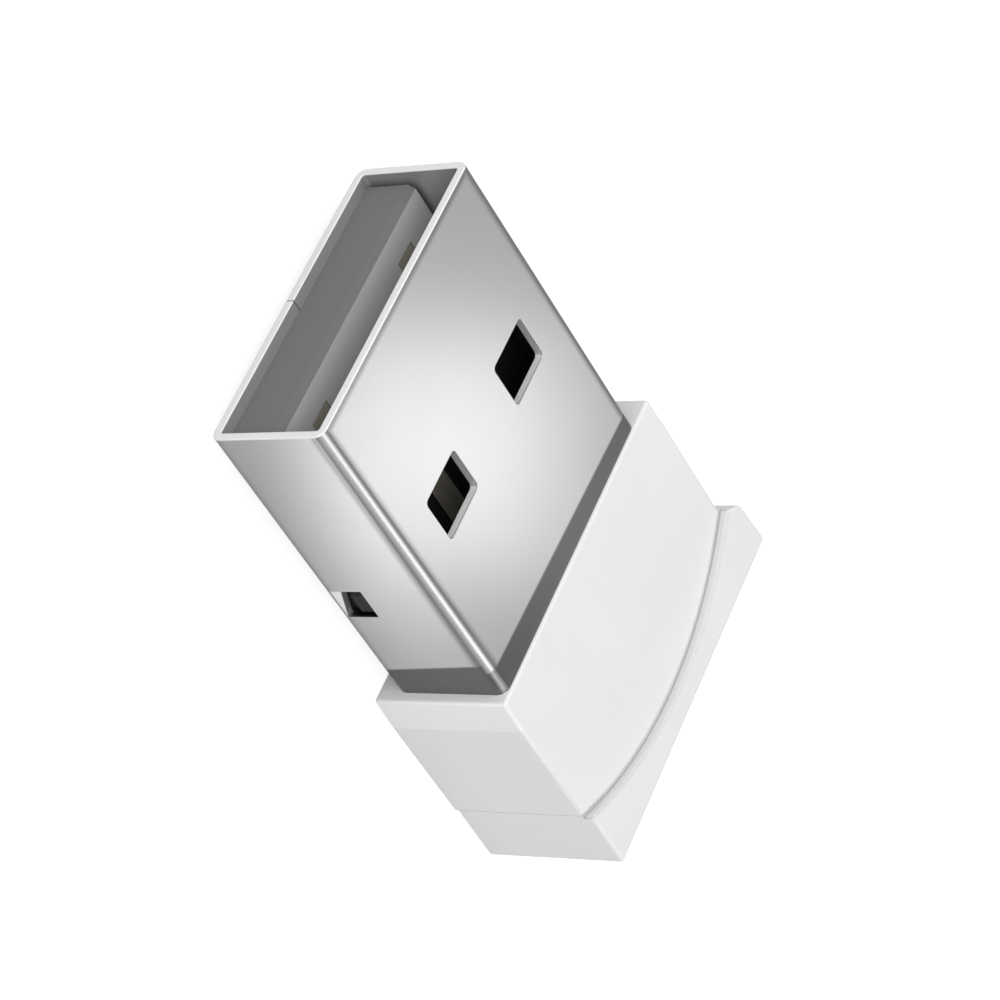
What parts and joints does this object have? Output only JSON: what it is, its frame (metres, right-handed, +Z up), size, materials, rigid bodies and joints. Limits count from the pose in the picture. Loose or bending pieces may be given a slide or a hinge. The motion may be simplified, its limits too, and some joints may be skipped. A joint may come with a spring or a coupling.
{
  "type": "wireless usb dongle",
  "caption": "Short wireless adapter that plugs into a computer port: a folded metal plug, a white moulded housing with a curved end cap, and a radio board inside",
  "frame": {"origin": "middle of the underside of the whole dongle's bounding box", "axes": "+X runs from the plug's mouth to the rear of the end cap, +Y to the side with the ear, +Z up, away from the tongue side"},
  "size_m": [0.0214, 0.0146, 0.0057],
  "materials": {
    "plug_metal": "bright nickel plate on folded sheet steel",
    "housing_plastic": "white, satin moulded",
    "cap_plastic": "white, satin moulded",
    "carrier_plastic": "dark grey, moulded",
    "contact_metal": "gold flash on copper alloy",
    "board_laminate": "green solder mask",
    "solder": "bright solder",
    "chip_plastic": "black moulding compound",
    "can_metal": "satin metal lid",
    "antenna_ceramic": "white glazed ceramic",
    "light_ceramic": "light grey ceramic",
    "fuse_ceramic": "green coated",
    "capacitor_ceramic": "tan ceramic",
    "resistor_ceramic": "black coated"
  },
  "bodies": {
    "root": {"plug_shell": "plug_metal", "housing": "housing_plastic", "end_cap": "cap_plastic", "contact_carrier": "carrier_plastic", "power_contact": "contact_metal", "data_minus_contact": "contact_metal", "data_plus_contact": "contact_metal", "ground_contact": "contact_metal", "circuit_board": "board_laminate", "contact_solder": "solder", "radio_chip": "chip_plastic", "crystal": "can_metal", "voltage_regulator": "chip_plastic", "memory_chip": "chip_plastic", "chip_antenna": "antenna_ceramic", "antenna_filter": "light_ceramic", "input_fuse": "fuse_ceramic", "bulk_capacitor": "capacitor_ceramic", "matching_inductor": "light_ceramic", "decoupling_capacitors": "capacitor_ceramic", "crystal_load_capacitors": "capacitor_ceramic", "data_line_resistors": "resistor_ceramic"}
  },
  "joints": []
}
